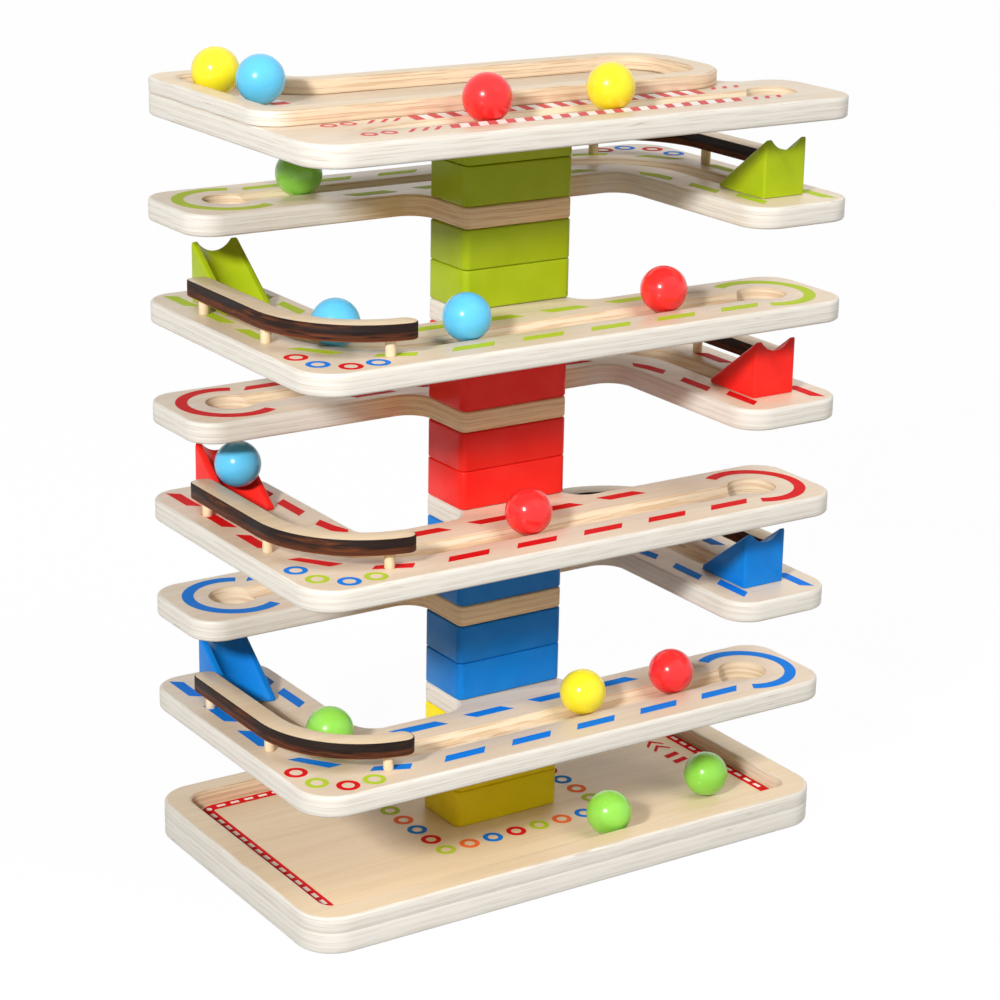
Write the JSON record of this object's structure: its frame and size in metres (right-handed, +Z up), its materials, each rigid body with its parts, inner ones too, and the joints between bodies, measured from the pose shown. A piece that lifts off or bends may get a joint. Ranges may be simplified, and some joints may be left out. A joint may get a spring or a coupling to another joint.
{
  "type": "wooden ball ramp toy",
  "caption": "Wooden toy tower of plywood ramps on a painted post; balls start in a top tray, roll along grooves round guard-railed bends and drop through holes to a rimmed base.",
  "frame": {"origin": "middle of the base board's underside", "axes": "+Z up the post, +X along the boards to the right of the pictured front, +Y to the back"},
  "size_m": [0.33, 0.188, 0.4405],
  "materials": {
    "plywood": "satin",
    "charred_plywood": "matte",
    "dowel_wood": "matte",
    "yellow_paint": "painted, semi-gloss",
    "blue_paint": "painted, semi-gloss",
    "red_paint": "painted, semi-gloss",
    "green_paint": "painted, semi-gloss",
    "yellow_lacquer": "gloss lacquer",
    "sky_lacquer": "gloss lacquer",
    "red_lacquer": "gloss lacquer",
    "green_lacquer": "gloss lacquer"
  },
  "bodies": {
    "tower": {"base_board": "plywood", "base_rim": "plywood", "top_board": "plywood", "top_rim": "plywood", "ramp_1": "plywood", "wedge_1": "blue_paint", "rail_1": "charred_plywood", "dowel_1": "dowel_wood", "ramp_2": "plywood", "wedge_2": "blue_paint", "rail_2": "charred_plywood", "dowel_2": "dowel_wood", "ramp_3": "plywood", "wedge_3": "red_paint", "rail_3": "charred_plywood", "dowel_3": "dowel_wood", "ramp_4": "plywood", "wedge_4": "red_paint", "rail_4": "charred_plywood", "dowel_4": "dowel_wood", "ramp_5": "plywood", "wedge_5": "green_paint", "rail_5": "charred_plywood", "dowel_5": "dowel_wood", "ramp_6": "plywood", "wedge_6": "green_paint", "rail_6": "charred_plywood", "dowel_6": "dowel_wood", "dowel_base": "dowel_wood", "dowel_top": "dowel_wood", "block_yellow_1": "yellow_paint", "block_yellow_2": "yellow_paint", "block_yellow_3": "yellow_paint", "block_blue_1": "blue_paint", "block_blue_2": "blue_paint", "block_blue_3": "blue_paint", "block_blue_4": "blue_paint", "block_red_1": "red_paint", "block_red_2": "red_paint", "block_red_3": "red_paint", "block_red_4": "red_paint", "block_green_1": "green_paint", "block_green_2": "green_paint", "block_green_3": "green_paint", "block_green_4": "green_paint"},
    "ball_tray_yellow": {"ball_tray_yellow": "yellow_lacquer"},
    "ball_tray_sky": {"ball_tray_sky": "sky_lacquer"},
    "ball_top_red": {"ball_top_red": "red_lacquer"},
    "ball_top_yellow": {"ball_top_yellow": "yellow_lacquer"},
    "ball_6_green": {"ball_6_green": "green_lacquer"},
    "ball_5_bend_sky": {"ball_5_bend_sky": "sky_lacquer"},
    "ball_5_sky": {"ball_5_sky": "sky_lacquer"},
    "ball_5_red": {"ball_5_red": "red_lacquer"},
    "ball_3_wedge_sky": {"ball_3_wedge_sky": "sky_lacquer"},
    "ball_3_red": {"ball_3_red": "red_lacquer"},
    "ball_1_bend_green": {"ball_1_bend_green": "green_lacquer"},
    "ball_1_red": {"ball_1_red": "red_lacquer"},
    "ball_1_yellow": {"ball_1_yellow": "yellow_lacquer"},
    "ball_base_near_green": {"ball_base_near_green": "green_lacquer"},
    "ball_base_far_green": {"ball_base_far_green": "green_lacquer"}
  },
  "joints": [
    {"name": "ball_tray_yellow_roll", "type": "slide", "parent": "tower", "child": "ball_tray_yellow", "axis": [0, 1, 0], "range_m": [-0.004, 0.012]},
    {"name": "ball_tray_sky_roll", "type": "slide", "parent": "tower", "child": "ball_tray_sky", "axis": [1, 0, 0], "range_m": [-0.007, 0.215]},
    {"name": "ball_top_red_roll", "type": "slide", "parent": "tower", "child": "ball_top_red", "axis": [1, 0, 0], "range_m": [-0.018, 0.03]},
    {"name": "ball_top_yellow_roll", "type": "slide", "parent": "tower", "child": "ball_top_yellow", "axis": [1, 0, 0], "range_m": [-0.012, 0.104]},
    {"name": "ball_6_green_roll", "type": "slide", "parent": "tower", "child": "ball_6_green", "axis": [1, 0, 0], "range_m": [-0.042, 0.16]},
    {"name": "ball_5_bend_sky_roll", "type": "hinge", "parent": "tower", "child": "ball_5_bend_sky", "pos_m": [-0.0815, -0.0105, 0.31577], "axis": [0, 0, 1], "range_deg": [-35, 30]},
    {"name": "ball_5_sky_roll", "type": "slide", "parent": "tower", "child": "ball_5_sky", "axis": [1, 0, 0], "range_m": [-0.013, 0.08]},
    {"name": "ball_5_red_roll", "type": "slide", "parent": "tower", "child": "ball_5_red", "axis": [1, 0, 0], "range_m": [-0.012, 0.066]},
    {"name": "ball_3_wedge_sky_roll", "type": "slide", "parent": "tower", "child": "ball_3_wedge_sky", "axis": [0, -0.7968, -0.6043], "range_m": [-0.01, 0.021]},
    {"name": "ball_3_red_roll", "type": "slide", "parent": "tower", "child": "ball_3_red", "axis": [1, 0, 0], "range_m": [-0.055, 0.15]},
    {"name": "ball_1_bend_green_roll", "type": "hinge", "parent": "tower", "child": "ball_1_bend_green", "pos_m": [-0.0815, -0.0105, 0.09736], "axis": [0, 0, 1], "range_deg": [-31, 34]},
    {"name": "ball_1_red_roll", "type": "slide", "parent": "tower", "child": "ball_1_red", "axis": [1, 0, 0], "range_m": [-0.012, 0.0505]},
    {"name": "ball_1_yellow_roll", "type": "slide", "parent": "tower", "child": "ball_1_yellow", "axis": [1, 0, 0], "range_m": [-0.085, 0.012]},
    {"name": "ball_base_near_green_roll", "type": "slide", "parent": "tower", "child": "ball_base_near_green", "axis": [1, 0, 0], "range_m": [-0.165, 0.05]},
    {"name": "ball_base_far_green_roll", "type": "slide", "parent": "tower", "child": "ball_base_far_green", "axis": [0, 1, 0], "range_m": [-0.012, 0.115]}
  ]
}
